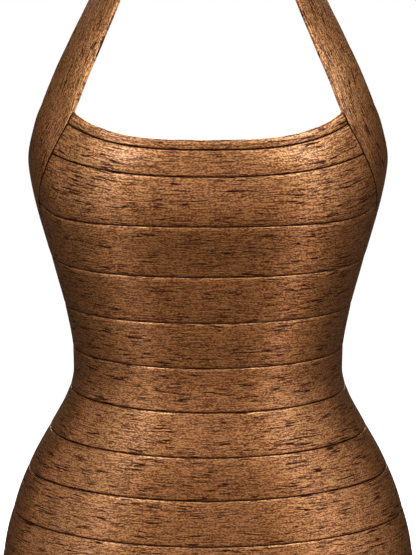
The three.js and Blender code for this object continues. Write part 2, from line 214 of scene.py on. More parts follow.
# Sewn edges of the bands. Each has its height at the front centre, how much it has risen at an angle
# to the side, that angle, and the power of its curve.
seams = {
    "neckline": (-175.9, 18.5, 41.4, 2.7),
    "rows": [
        (-183.5, 16, 42.6, 2.45),
        (-204.3, 12.3, 49.3, 2.05),
        (-243.8, 5, 62, 6),
        (-285.8, 2.6, 66, 3),
        (-325, 0, 90, 1),
        (-364, 0, 90, 1),
        (-401.8, 0, 90, 1),
        (-439.2, 0, 90, 1),
        (-476.1, 0, 90, 1),
        (-515.3, 0, 90, 1),
    ],
    "sideRow": 4,  # the first band that reaches the side seam
    "zipRow": 13,  # the zip ends at the lower edge of this band
    "wedgeTip": 2.5,  # height at which the wedge band under the strap ends
    "wedgeFrom": 95.0,  # its end is looked for from this angle on, step by step
    "wedgeStep": 0.5,
    "wedgeShare": 0.62,  # of its rectangle that the wedge fills
    "wedgeColumns": 20,
}
lowestSeam = seams["rows"][-1][0] - cloth["bandPitch"]
while lowestSeam > cloth["hemHeight"] - cloth["bandPitch"] / 2:
    seams["rows"].append((max(lowestSeam, cloth["hemHeight"]), 0, 90, 1))
    lowestSeam -= cloth["bandPitch"]

strap = {
    "columns": ("angle", "height", "width"),
    "rows": (
        (180, 17, 34),
        (150, 15.8, 34),
        (122, 11.5, 34),
        (98, 4, 34),
        (78, -5, 34),
        (62, -17, 34),
        (50, -31.5, 33.5),
        (42.3, -49, 33),
        (38.3, -71, 32.6),
        (37, -94, 33.9),
        (37.3, -113, 35.2),
        (38.9, -132.5, 36.6),
        (40.7, -149.5, 38.5),
        (43.5, -166, 40),
        (48.2, -180.3, 39.2),
        (53.2, -194.5, 38),
        (58.8, -209, 37.3),
        (65, -223, 37),
        (70.6, -238.5, 37),
        (73.9, -254, 37.3),
        (77.8, -270, 37.7),
        (83, -286, 38),
        (91.5, -302, 38.2),
        (105, -314, 38.8),
        (118, -320.9, 39.4),
        (131, -324.2, 39.8),
        (150, -324.6, 39.8),
        (180, -324.6, 39.8),
    ),
    "stations": 240,
    "limitStations": 900,  # along the line that the bands end on
    "fineSteps": 4000,
    "acrossSteps": 40,
    "stretch": 1.05,
    "limitBelow": -100,  # no band reaches higher than this
    "sewnFrom": -159,  # the bands are sewn to the strap below this height
    "sewnReach": 0.5,  # this much of the raised edge is in the seam's shade
    "underShare": 0.75,  # the inner face reaches over this share of the gap at the sewn edge
    "underFade": 12,
    "creaseInset": 2.4,
    "creaseDepth": 0.12,
    "creaseWidth": 0.5,
    "softDents": 0.14,
    "dentWaves": (60, 90, 170),
    "napeInner": 0.01,  # the two straps' inner faces meet at the nape
}

zipper = {
    "opening": 9,
    "top": -289,
    "tapeWidth": 15,
    "tapeThickness": 0.9,
    "tapeDepth": 2.6,
    "teethGap": 0.4,
    "pitch": 1.7,
    "firstTooth": -297.6,
    "lastTooth": 5,  # above the zip's end, where the bottom stop is
    "tooth": ((-0.5, 0.27), (0.2, 0.36), (0.7, 0.36), (2.3, 0.42)),  # from the middle line, half height
    "toothLevels": ((-1, 0.72), (-0.7, 1), (0.7, 1), (1, 0.72)),  # share of the half thickness, size
    "toothThickness": 1.8,
    "toothWaist": 0.9,
    "toothTaper": 0.94,
}


def ripple(place, seed, wavelengths):
    # seeded uneven wave between about -1 and 1
    chance = np.random.default_rng(seed)
    total = np.zeros_like(np.asarray(place, float))
    for wavelength in wavelengths:
        total += np.sin(place * 2 * math.pi / wavelength + chance.uniform(0, 2 * math.pi))
    return total / len(wavelengths)


def crossSection(width, rise, upperEdge, lowerEdge):
    # places across a band in millimetres from its upper edge, and how far out each is
    most = width * cloth["edgeShare"]
    upper = [(min(place, most), out) for place, out in upperEdge]
    lower = [(width - min(place, most), out) for place, out in reversed(lowerEdge)]
    between = max(2, int(round((lower[0][0] - upper[-1][0]) / cloth["rowPitch"])))
    middle = []
    for step in range(1, between):
        share = step / between
        place = upper[-1][0] + (lower[0][0] - upper[-1][0]) * share
        middle.append((place, cloth["crown"] * math.sin(math.pi * share)))
    places, outs = zip(*(upper + middle + lower))
    return np.array(places) / width, np.array(outs) + rise


def addShell(name, outer, inner, layers, materials):
    # closed wall between two grids of points in millimetres, with the cloth's own places as UV
    columns, rows = outer.shape[:2]
    points = np.concatenate([outer.reshape(-1, 3), inner.reshape(-1, 3)])
    points = (points - (0, form["napeDepth"], 0)) * millimetre
    numbers = np.arange(columns * rows).reshape(columns, rows)
    a, b = numbers[:-1, :-1], numbers[1:, :-1]
    c, d = numbers[1:, 1:], numbers[:-1, 1:]
    face = np.stack([a, b, c, d], axis=-1).reshape(-1, 4)
    back = face[:, ::-1] + columns * rows
    rims = []
    for line in (numbers[:, 0][::-1], numbers[:, -1], numbers[0, :], numbers[-1, :][::-1]):
        under = line + columns * rows
        rims.append(np.stack([line[1:], line[:-1], under[:-1], under[1:]], axis=-1))
    quads = np.concatenate([face, back, *rims])
    corners = points[quads]
    middle = corners.mean(axis=1)
    normal = np.cross(corners[:, 2] - corners[:, 0], corners[:, 3] - corners[:, 1])
    if (middle * normal).sum() < 0:
        quads = quads[:, ::-1]
    mesh = bpy.data.meshes.new(name)
    mesh.from_pydata(points.tolist(), [], quads.tolist())
    for layerName, values in layers.items():
        layer = mesh.uv_layers.new(name=layerName)
        uv = np.concatenate([values.reshape(-1, 2)] * 2)[quads.reshape(-1)] * millimetre
        layer.data.foreach_set("uv", uv.astype(np.float32).reshape(-1))
    for material in materials:
        mesh.materials.append(material)
    marks = np.zeros(len(quads), np.int32)
    marks[len(face) : len(face) + len(back)] = len(materials) - 1
    mesh.polygons.foreach_set("material_index", marks)
    mesh.shade_smooth()
    mesh.set_sharp_from_angle(angle=math.radians(sharpFrom["cloth"]))
    mesh.update()
    shown = bpy.data.objects.new(name, mesh)
    bpy.context.scene.collection.objects.link(shown)
    return shown


def clothSize(outer):
    # mean length and width of the outer face in metres
    along = np.linalg.norm(np.diff(outer, axis=0), axis=-1)
    across = np.linalg.norm(np.diff(outer, axis=1), axis=-1)
    return along.sum(axis=0).mean() * millimetre, across.sum(axis=1).mean() * millimetre


def standFor(shown, node):
    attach(shown, "dress" if node != "zip_pull" else "zip_pull")
    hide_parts(node)


def addLofts(name, lofts, material, closed=False):
    # joined-up rows of rings in millimetres, capped at their ends unless each row closes on itself
    points, faces = [], []
    start = 0
    for rings in lofts:
        rings = np.asarray(rings, float)
        count, size = rings.shape[:2]
        numbers = start + np.arange(count * size).reshape(count, size)
        following = np.roll(numbers, -1, axis=0)
        for ring, after in list(zip(numbers, following))[: count if closed else count - 1]:
            faces += np.stack([ring, np.roll(ring, -1), np.roll(after, -1), after], axis=-1).tolist()
        if not closed:
            faces += [numbers[0][::-1].tolist(), numbers[-1].tolist()]
        points.append(rings.reshape(-1, 3))
        start += count * size
    points = np.concatenate(points)
    mesh = bpy.data.meshes.new(name)
    mesh.from_pydata(((points - (0, form["napeDepth"], 0)) * millimetre).tolist(), [], faces)
    work = bmesh.new()
    work.from_mesh(mesh)
    bmesh.ops.recalc_face_normals(work, faces=work.faces)
    work.to_mesh(mesh)
    work.free()
    layer = mesh.uv_layers.new(name="grain")
    corners = np.zeros(len(mesh.loops), np.int32)
    mesh.loops.foreach_get("vertex_index", corners)
    uv = (points[corners][:, [0, 2]] + points[corners][:, [1, 1]] * (1, 0)) * millimetre
    layer.data.foreach_set("uv", uv.astype(np.float32).reshape(-1))
    mesh.materials.append(material)
    mesh.shade_smooth()
    mesh.set_sharp_from_angle(angle=math.radians(sharpFrom["metal"]))
    shown = bpy.data.objects.new(name, mesh)
    bpy.context.scene.collection.objects.link(shown)
    return shown


def rounded(points, rounds=2, closed=True):
    # cut the corners of an outline off again and again
    points = np.asarray(points, float)
    for _ in range(rounds):
        after = np.roll(points, -1, axis=0) if closed else points[1:]
        before = points if closed else points[:-1]
        near, far = before * 0.75 + after * 0.25, before * 0.25 + after * 0.75
        cut = np.stack([near, far], axis=1).reshape(-1, points.shape[1])
        points = cut if closed else np.concatenate([points[:1], cut, points[-1:]])
    return points


# Shader helpers
class Field:
    # a shader socket that stands in a sum
    def __init__(self, finish, socket):
        self.finish, self.socket = finish, socket

    def join(self, operation, first, second):
        return self.finish.make("ShaderNodeMath", {"operation": operation}, {0: first, 1: second})

    def __add__(self, other):
        return self.join("ADD", self, other)

    def __sub__(self, other):
        return self.join("SUBTRACT", self, other)

    def __rsub__(self, other):
        return self.join("SUBTRACT", other, self)

    def __mul__(self, other):
        return self.join("MULTIPLY", self, other)

    def __truediv__(self, other):
        return self.join("DIVIDE", self, other)

    def __rtruediv__(self, other):
        return self.join("DIVIDE", other, self)

    __radd__, __rmul__ = __add__, __mul__

    def wave(self):
        return self.join("SINE", self, 0)

    def between(self, low, high):
        # 0 below low, 1 above high, smooth between
        settings = {"interpolation_type": "SMOOTHSTEP"}
        return self.finish.make("ShaderNodeMapRange", settings, {0: self, 1: low, 2: high, 3: 0, 4: 1})


class Finish:
    # the nodes of one material, or of the studio's surroundings
    def __init__(self, name, kind="materials"):
        self.owner = getattr(bpy.data, kind).new(name)
        self.owner.use_nodes = True
        self.tree = self.owner.node_tree
        self.tree.nodes.clear()

    def make(self, kind, settings=None, values=None, output=0):
        node = self.tree.nodes.new(kind)
        for name, setting in (settings or {}).items():
            setattr(node, name, setting)
        for name, value in (values or {}).items():
            if isinstance(value, Field):
                self.tree.links.new(value.socket, node.inputs[name])
            else:
                node.inputs[name].default_value = value
        return Field(self, node.outputs[output]) if node.outputs else None

    def blend(self, factor, first, second):
        # colours are mixed by the Mix node's colour sockets
        return self.make("ShaderNodeMix", {"data_type": "RGBA"}, {0: factor, 6: first, 7: second}, 2)

    def noise(self, along, across, size, depth, detail=2.0, roughness=0.5):
        # marks of a size along and across, in another pattern at each depth
        place = self.make("ShaderNodeCombineXYZ", None, {0: along / size[0], 1: across / size[1], 2: depth})
        values = {"Vector": place, "Scale": 1.0, "Detail": detail, "Roughness": roughness}
        return self.make("ShaderNodeTexNoise", None, values)

    def relief(self, height, distance, strength=1.0):
        values = {"Strength": strength, "Distance": distance, "Height": height}
        return self.make("ShaderNodeBump", None, values)

    def close(self, values):
        shader = self.make("ShaderNodeBsdfPrincipled", None, values)
        self.make("ShaderNodeOutputMaterial", None, {"Surface": shader})
        return self.owner


def tone(red, green, blue):
    # a colour given as it looks on a screen, 0 to 255
    def straight(level):
        share = level / 255
        return share / 12.92 if share <= 0.04045 else ((share + 0.055) / 1.055) ** 2.4

    return (straight(red), straight(green), straight(blue), 1)


def clothPlace(finish, layer):
    # grain: millimetres along and across the piece; edge: millimetres from its sewn edges and its ends,
    # which set where the seam shade is painted
    place = finish.make("ShaderNodeUVMap", {"uv_map": layer})
    along = finish.make("ShaderNodeSeparateXYZ", None, {0: place}) / millimetre
    across = finish.make("ShaderNodeSeparateXYZ", None, {0: place}, 1) / millimetre
    return along, across


foil = {
    "ground": tone(130, 70, 33),
    "fleck": tone(213, 149, 89),
    "crackle": tone(54, 19, 9),
    # painted shade: the dark colour that the seams' grooves and the bands' ends take where the pieces meet
    "seam": tone(44, 19, 9),
    "metal": 0.94,
    "groundRoughness": 0.5,
    "fleckRoughness": 0.4,
    "gloss": 0.5,
    "glossRoughness": 0.3,
    "relief": 0.00032,
    "ribs": 2 * math.pi / 1.25,
    "wander": 2.4,  # the knit's courses are never quite straight
    "drift": (24, 24),  # sizes of the marks, millimetres along and across
    "speckle": (1.8, 0.8),
    "threads": (12, 0.95),
    "dashes": (14, 1.0),
    "clusters": (24, 9),
}


def makeFoilKnit():
    finish = Finish("foilKnit")
    along, across = clothPlace(finish, "grain")
    drift = finish.noise(along, across, foil["drift"], 3.7, 1)
    level = across + drift * foil["wander"]
    ribs = (across * foil["ribs"]).wave()
    speckle = finish.noise(along, level, foil["speckle"], 11.3, 0.5)
    threads = finish.noise(along, level, foil["threads"], 5.1, 1)
    dashes = finish.noise(along, level, foil["dashes"], 21.7, 1)
    clusters = finish.noise(along, across, foil["clusters"], 2.2, 2)
    crackle = dashes.between(0.555, 0.615) * (0.3 + clusters.between(0.4, 0.58) * 0.7)
    flecks = (speckle * 0.58 + threads * 0.42 + ribs * 0.02).between(0.4, 0.6)
    fromSeam, fromEnd = clothPlace(finish, "edge")
    # painted shade in the seams: the colour darkens towards the seam colour within about 0.7 mm of each sewn
    # edge and end, with no gloss there
    seam = 1 - fromSeam.join("MINIMUM", fromSeam, fromEnd).between(0.05, 0.7)
    colour = finish.blend(flecks, foil["ground"], foil["fleck"])
    colour = finish.blend(crackle * 0.95, colour, foil["crackle"])
    colour = finish.blend(seam * 0.9, colour, foil["seam"])
    roughness = foil["groundRoughness"] + flecks * (foil["fleckRoughness"] - foil["groundRoughness"])
    height = speckle * 0.7 + threads * 0.5 + ribs * 0.05 - crackle * 0.3
    return finish.close({
        "Base Color": colour,
        "Metallic": foil["metal"],
        "Roughness": roughness + crackle * 0.2,
        "Coat Weight": (1 - crackle * 0.9) * (1 - seam) * foil["gloss"],
        "Coat Roughness": foil["glossRoughness"],
        "Normal": finish.relief(height, foil["relief"]),
    })


reverse = {
    "dark": tone(52, 32, 20),
    "light": tone(98, 66, 42),
    "stitch": (2 * math.pi / 1.3, 2 * math.pi / 1.1),
    "fuzz": (0.8, 0.8),
    "relief": 0.0002,
}


def makeKnitReverse():
    # the unfoiled inside of the knit
    finish = Finish("knitReverse")
    along, across = clothPlace(finish, "grain")
    loops = (along * reverse["stitch"][0]).wave() * (across * reverse["stitch"][1]).wave()
    fuzz = finish.noise(along, across, reverse["fuzz"], 4.4, 2)
    colour = finish.blend((fuzz + loops * 0.1).between(0.3, 0.7), reverse["dark"], reverse["light"])
    return finish.close({
        "Base Color": colour,
        "Roughness": 0.85 + (fuzz - 0.5) * 0.2,
        "Normal": finish.relief(loops * 0.5 + fuzz * 0.5, reverse["relief"]),
    })


weave = {
    "dark": tone(44, 27, 18),
    "pale": tone(92, 60, 40),
    "ribs": 2 * math.pi / 0.8,
    "wear": (6, 2),
    "relief": 0.0002,
}


def makeZipWeave():
    finish = Finish("zipWeave")
    along, across = clothPlace(finish, "grain")
    ribs = (along * weave["ribs"]).wave() * (across * weave["ribs"]).wave()
    wear = finish.noise(along, across, weave["wear"], 9.4, 2)
    bump = finish.relief(ribs + wear * 0.6, weave["relief"], 0.7)
    colour = finish.blend(ribs.between(-0.9, 0.9) * 0.6 + wear * 0.4, weave["dark"], weave["pale"])
    return finish.close({"Base Color": colour, "Roughness": 0.85, "Normal": bump})


brass = {
    "colour": tone(188, 146, 88),
    "dark": tone(120, 86, 46),
    "roughness": 0.26,
    "wear": (1.6, 1.6),
    "scratches": (0.35, 5),
    "relief": 0.00008,
}


def makeAgedBrass():
    finish = Finish("agedBrass")
    along, across = clothPlace(finish, "grain")
    wear = finish.noise(along, across, brass["wear"], 6.1, 4, 0.6)
    scratches = finish.noise(along, across, brass["scratches"], 3.3, 2)
    return finish.close({
        "Base Color": finish.blend(wear.between(0.45, 0.75) * 0.35, brass["colour"], brass["dark"]),
        "Metallic": 1.0,
        "Roughness": brass["roughness"] + wear.between(0.4, 0.65) * 0.16 + scratches * 0.06,
        "Normal": finish.relief(wear + scratches * 0.5, brass["relief"], 0.4),
    })


thread = {
    "colour": tone(126, 84, 52),
    "pale": tone(176, 128, 84),
    "twist": 2 * math.pi / 0.7,
    "relief": 0.0001,
}


def makeThread():
    finish = Finish("sewingThread")
    along, across = clothPlace(finish, "grain")
    twist = ((along + across * 1.4) * thread["twist"]).wave()
    bump = finish.relief(twist, thread["relief"], 0.6)
    colour = finish.blend(twist.between(-0.4, 1.0), thread["colour"], thread["pale"])
    return finish.close({"Base Color": colour, "Roughness": 0.55, "Normal": bump})


foilKnit = makeFoilKnit()
knitReverse = makeKnitReverse()
zipWeave = makeZipWeave()
agedBrass = makeAgedBrass()
sewingThread = makeThread()
print("finishes made")


def seamHeight(seam, angle):
    height, rise, full, power = seam
    return height + rise * (np.abs(angle) / full) ** power


# Strap: stations along its sewn edge
def strapLine(count):
    steps = np.arange(len(strap["rows"]))
    edge = {
        name: smoothCurve(steps, [row[column] for row in strap["rows"]])
        for column, name in enumerate(strap["columns"])
    }
    fine = np.linspace(0, steps[-1], strap["fineSteps"] + 1)
    points = formPoint(edge["angle"](fine), edge["height"](fine))
    used = points[:, 0] > cloth["seamGap"] / 2
    late = strap["fineSteps"] // 2  # from here on the strap runs to the zip
    used[late:] &= points[late:, 0] > zipper["opening"] / 2
    fine, points = fine[used], points[used]
    lengths = np.concatenate([[0], np.cumsum(np.linalg.norm(np.diff(points, axis=0), axis=1))])
    goals = np.linspace(0, lengths[-1], count)
    at = np.interp(goals, lengths, fine)
    points = formPoint(edge["angle"](at), edge["height"](at))
    along = unit(np.gradient(points, axis=0))
    across = np.cross(outwards(points), along)
    across[[0, -1], 0] = 0
    return points, unit(across), edge["width"](at), goals


def nearestLimit():
    # the line that the bands end on, just clear of the strap's sewn edge
    points, across, _, _ = strapLine(strap["limitStations"])
    beside = backToForm(points - across * cloth["strapSeamGap"])
    kept = beside[:, 2] < strap["limitBelow"]
    return angleOf(beside)[kept], beside[:, 2][kept]


limitAngles, limitHeights = nearestLimit()


def frontEnd(height):
    # angle where a row of a front band ends: at the strap, or at the side seam
    height = np.asarray(height, float)
    strapAngle = np.interp(-height, -limitHeights, limitAngles)
    strapAngle = np.where(height <= limitHeights.min(), 180, strapAngle)
    _, _, depth, power = sectionAt(True, height)
    side = np.degrees(np.arccos((cloth["seamGap"] / 2 / depth) ** (power / 2)))
    return np.minimum(strapAngle, side)


def backStart(height):
    _, _, depth, power = sectionAt(False, height)
    return 180 - np.degrees(np.arccos((cloth["seamGap"] / 2 / depth) ** (power / 2)))


def backEnd(fromCentre, height):
    halfWidth, _, _, power = sectionAt(False, height)
    return 180 - np.degrees(np.arcsin((fromCentre / halfWidth) ** (power / 2)))


def bandGrid(top, bottom, start, end, shares, columns, reach=0.0):
    def rowHeight(angle, share):
        upper = top(angle) - cloth["seamGap"] / 2
        lower = bottom(angle) + cloth["seamGap"] / 2
        return upper + (lower - upper) * share

    def rowEnd(limit):
        angle = np.full(len(shares), 60.0)
        for _ in range(cloth["endRounds"]):
            angle = limit(rowHeight(np.abs(angle), shares))
        return angle

    along = np.linspace(0, 1, columns + 1)[:, None]
    first, last = rowEnd(start), rowEnd(end)
    angles = first + (last - first) * (along * (1 + 2 * reach) - reach)
    return formPoint(angles, rowHeight(np.abs(angles), shares))


def clothGrain(surface, middleColumn, offset, width, shares, freeTop, freeBottom):
    # the cloth's own millimetres along and across, for the grain and the relief, and the distances to the
    # sewn edges and ends, for the painted seam shade
    steps = np.linalg.norm(np.diff(surface, axis=0), axis=-1)
    along = np.concatenate([np.zeros((1, surface.shape[1])), np.cumsum(steps, axis=0)])
    across = np.broadcast_to(shares * width, along.shape)
    sewn = np.minimum(across + (width if freeTop else 0), width - across + (width if freeBottom else 0))
    edges = np.stack([sewn, np.minimum(along, along[-1] - along)], axis=-1)
    along = along - along[middleColumn]
    grain = np.stack([along, across], axis=-1) + offset * np.array(cloth["grainShift"])
    return {"grain": grain, "edge": edges}, along, across


def puckers(across, width, along, number):
    # small uneven waves beside the sewn edges
    edgeNear = np.exp(-np.minimum(across, width - across) / cloth["puckerFade"])
    return edgeNear * ripple(along, number, cloth["puckerWaves"]) * cloth["pucker"]


def dents(along, number, shares, kind):
    # wide soft unevenness, most in the middle of the width
    waves = ripple(along, number + cloth["dentSeed"], kind["dentWaves"])
    return waves * np.sin(np.pi * shares) * kind["softDents"]


def bandWall(name, number, top, bottom, start, end, columns, middleColumn, mirrored=False):
    width = float(top(0) - bottom(0)) - cloth["seamGap"]
    shares, outs = crossSection(width, 0, cloth["sewnEdge"], cloth["lowerEdge"])
    surface = bandGrid(top, bottom, start, end, shares, columns)
    freeTop, freeBottom = name.endswith("neckline_band"), float(bottom(0)) <= cloth["hemHeight"]
    layers, along, across = clothGrain(surface, middleColumn, number, width, shares, freeTop, freeBottom)
    under = shares * (1 + 2 * cloth["tuck"] / width) - cloth["tuck"] / width
    lining = bandGrid(top, bottom, start, end, under, columns, cloth["tuck"] / float(np.ptp(along)))
    relief = puckers(across, width, along, number)
    relief += dents(along, number, shares, cloth)
    facing = outwards(surface)
    outer = surface + facing * (outs + relief)[..., None]
    inner = lining - facing * cloth["thickness"]
    if mirrored:
        outer, inner = outer * (-1, 1, 1), inner * (-1, 1, 1)
    return addShell(name, outer, inner, layers, [foilKnit, knitReverse]), outer


def columnsFor(start, end, height):
    points = formPoint(np.linspace(start, end, 60), height)
    return int(np.linalg.norm(np.diff(points, axis=0), axis=1).sum() / cloth["columnWidth"] / 2) * 2


def addFrontBand(name, number, upper, lower):
    height = (upper[0] + lower[0]) / 2
    columns = columnsFor(-float(frontEnd(height)), float(frontEnd(height)), height)
    shown, outer = bandWall(
        "cloth_" + name, number,
        lambda angle: seamHeight(upper, angle), lambda angle: seamHeight(lower, angle),
        lambda height: -frontEnd(height), frontEnd, columns, columns // 2,
    )
    standFor(shown, name)


addFrontBand("neckline_band", 0, seams["neckline"], seams["rows"][0])
for row in range(1, len(seams["rows"])):
    addFrontBand(f"front_band_{row:02d}", row, seams["rows"][row - 1], seams["rows"][row])
print("front bands made")


def wedgeTop(angle):
    later = limitHeights < seams["neckline"][0]
    order = np.argsort(limitAngles[later])
    return np.interp(np.maximum(angle, 90), limitAngles[later][order], limitHeights[later][order])


wedgeLower = seams["rows"][seams["sideRow"]][0]
wedgeEnd = seams["wedgeFrom"]
while wedgeTop(wedgeEnd) - wedgeLower > seams["wedgeTip"]:
    wedgeEnd += seams["wedgeStep"]


def addBackBand(row, side):
    upper, lower = seams["rows"][row - 1][0], seams["rows"][row][0]
    wedge = row == seams["sideRow"]
    fromCentre = zipper["opening"] / 2 if row <= seams["zipRow"] else cloth["seamGap"] / 2
    name = f"back_band_{row:02d}_{side}"

    def top(angle):
        if wedge:
            return wedgeTop(angle) + cloth["seamGap"] / 2
        return np.full_like(np.asarray(angle, float), upper)

    def bottom(angle):
        return np.full_like(np.asarray(angle, float), lower)

    def end(height):
        return np.full_like(height, wedgeEnd) if wedge else backEnd(fromCentre, height)

    columns = seams["wedgeColumns"] if wedge else columnsFor(90, 180, (upper + lower) / 2)
    shown, outer = bandWall(
        "cloth_" + name, row + (20 if side == "left" else 40), top, bottom, backStart, end,
        columns, 0, side == "right",
    )
    long, wide = clothSize(outer)
    long /= cloth["stretch"]
    if wedge:
        standFor(shown, name)
    else:
        standFor(shown, name)


for row in range(seams["sideRow"], len(seams["rows"])):
    for side in ("left", "right"):
        addBackBand(row, side)
print("back bands made")


def addStrap(side, number):
    points, across, widths, lengths = strapLine(strap["stations"])
    steps = strap["acrossSteps"]
    fine = walkAcross(points, across, widths, steps)
    width = float(widths.mean())
    shares, outs = crossSection(width, cloth["strapRise"], cloth["sewnEdge"], cloth["lowerEdge"])
    place = shares * steps
    below = np.minimum(place.astype(int), steps - 1)
    part = (place - below)[None, :, None]
    surface = backToForm(fine[:, below] * (1 - part) + fine[:, below + 1] * part)
    reach = cloth["strapSeamGap"] * strap["underShare"] * np.exp(-shares * strap["underFade"])
    along = np.broadcast_to(lengths[:, None], surface.shape[:2])
    acrossPlace = shares[None, :] * widths[:, None]
    fromEdge = np.minimum(acrossPlace, widths[:, None] - acrossPlace)
    crease = np.exp(-(((fromEdge - strap["creaseInset"]) / strap["creaseWidth"]) ** 2))
    relief = puckers(acrossPlace, widths[:, None], along, number) - strap["creaseDepth"] * crease
    relief += dents(along, number, shares, strap)
    facing = outwards(surface)
    outer = surface + facing * (outs + relief)[..., None]
    inner = surface - facing * cloth["thickness"] - across[:, None] * reach[:, None]
    inner[0, :, 0] = strap["napeInner"]
    grain = np.stack([along, acrossPlace], axis=-1) + number * np.array(cloth["grainShift"])
    # painted seam shade along the strap's sewn edge, only below the height where the bands are sewn on
    sewn = np.maximum(0, acrossPlace - strap["sewnReach"])
    sewn = sewn + np.where(points[:, 2] > strap["sewnFrom"], width, 0)[:, None]
    edges = np.stack([sewn, np.minimum(along, along.max() - along)], axis=-1)
    if side == "right":
        outer, inner = outer * (-1, 1, 1), inner * (-1, 1, 1)
    layers = {"grain": grain, "edge": edges}
    shown = addShell("cloth_halter_strap_" + side, outer, inner, layers, [foilKnit, knitReverse])
    standFor(shown, "halter_strap_" + side)


addStrap("left", 61)
addStrap("right", 62)
print("straps made")


# Centre-back zip: woven tapes, two rows of teeth, slider and pull
zipEnd = seams["rows"][seams["zipRow"]][0]
middleDepth = zipper["tapeDepth"] + zipper["tapeThickness"] / 2


def tapeGrid(heights, places, depth):
    points = np.stack([formPoint(backEnd(place, heights), heights) for place in places], axis=1)
    return points - outwards(points) * depth


def addTape(side):
    heights = np.linspace(zipper["top"], zipEnd, 100)
    places = zipper["teethGap"] / 2 + np.linspace(0, zipper["tapeWidth"], 7)
    outer = tapeGrid(heights, places, zipper["tapeDepth"])
    inner = tapeGrid(heights, places, zipper["tapeDepth"] + zipper["tapeThickness"])
    if side == "right":
        outer, inner = outer * (-1, 1, 1), inner * (-1, 1, 1)
    along = np.broadcast_to((zipper["top"] - heights)[:, None], outer.shape[:2])
    grain = np.stack([along, np.broadcast_to(places, along.shape)], axis=-1)
    shown = addShell("woven_tape_" + side, outer, inner, {"grain": grain}, [zipWeave])
    standFor(shown, "zip_tape_" + side)


def chainPlaces(first, last, pitch, shift):
    # middle points, out and up directions at even steps down the middle of the zip
    fine = np.linspace(first, last, 2000)
    line = formPoint(np.full(fine.shape, 180.0), fine)
    lengths = np.concatenate([[0], np.cumsum(np.linalg.norm(np.diff(line, axis=0), axis=1))])
    steps = np.arange(shift * pitch, lengths[-1], pitch)
    points = np.stack([np.interp(steps, lengths, line[:, axis]) for axis in range(3)], axis=1)
    up = -unit(np.gradient(points, axis=0))
    return points, outwards(points), up


def addTeeth(side, shift):
    sign = 1 if side == "left" else -1
    upper = [(place, half) for place, half in zipper["tooth"]]
    outline = upper + [(place, -half) for place, half in reversed(upper)]
    thick = zipper["toothThickness"] / 2
    lofts = []
    places = chainPlaces(zipper["firstTooth"], zipEnd + zipper["lastTooth"], zipper["pitch"], shift)
    for point, facing, up in zip(*places):
        rings = []
        for level, size in zipper["toothLevels"]:
            middle = point + facing * (level * thick - middleDepth)
            taper = zipper["toothTaper"] if size < 1 else 1
            ring = []
            for place, half in outline:
                aside = zipper["toothWaist"] + (place - zipper["toothWaist"]) * taper
                ring.append(middle + np.array([sign * aside, 0, 0]) + up * half * size)
            rings.append(ring)
        lofts.append(rings)
    shown = addLofts("zip_teeth_" + side, lofts, agedBrass)
    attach(shown, "dress")


def boxRings(point, axes, size, bevel):
    # bevelled block: rings of eight across its second axis
    right, out, up = axes
    wide, deep, tall = (length / 2 for length in size)
    rings = []
    for level, inset in ((-deep, bevel), (-deep + bevel, 0), (deep - bevel, 0), (deep, bevel)):
        x, z = wide - inset, tall - inset
        upper = [(-x, z - bevel), (-x + bevel, z), (x - bevel, z), (x, z - bevel)]
        outline = upper + [(-a, -b) for a, b in upper]
        rings.append([point + right * a + out * level + up * b for a, b in outline])
    return rings


slider = {
    "height": -291.5,
    "length": 10,
    "width": 8.2,
    "plate": 1.4,
    "corners": ((-0.6, 1), (0.6, 1), (1, 0.5), (1, -0.3), (0.75, -1), (-0.75, -1), (-1, -0.3), (-1, 0.5)),
    "faceSize": 0.93,  # a plate's flat faces are this share of its outline
    "bridgeReach": 3.5,
    "bridgeBar": 1,
    "bridgeWidth": 1.6,
    "bridgeSunk": 0.5,
    "postWidth": 1.6,
    "postLength": 1.8,
    "postInset": 0.4,
    "postSunk": 0.5,  # at either end, in the plates
    "postBevel": 0.2,
    "bevel": 0.3,
}
pull = {
    "length": 26,
    "width": 6,
    "thickness": 1.4,
    "clearance": 0.35,
    "eyeWidth": 2.6,
    "eyeLength": 4.9,
    "eyeRim": 1.1,
    "shoulder": 0.6,  # below the eye, where the tab starts to widen
    "fullWidth": 4,  # below the eye, where it has its full width
    "tipPoints": 17,
    "turns": 120,
    "bevel": 0.3,
}


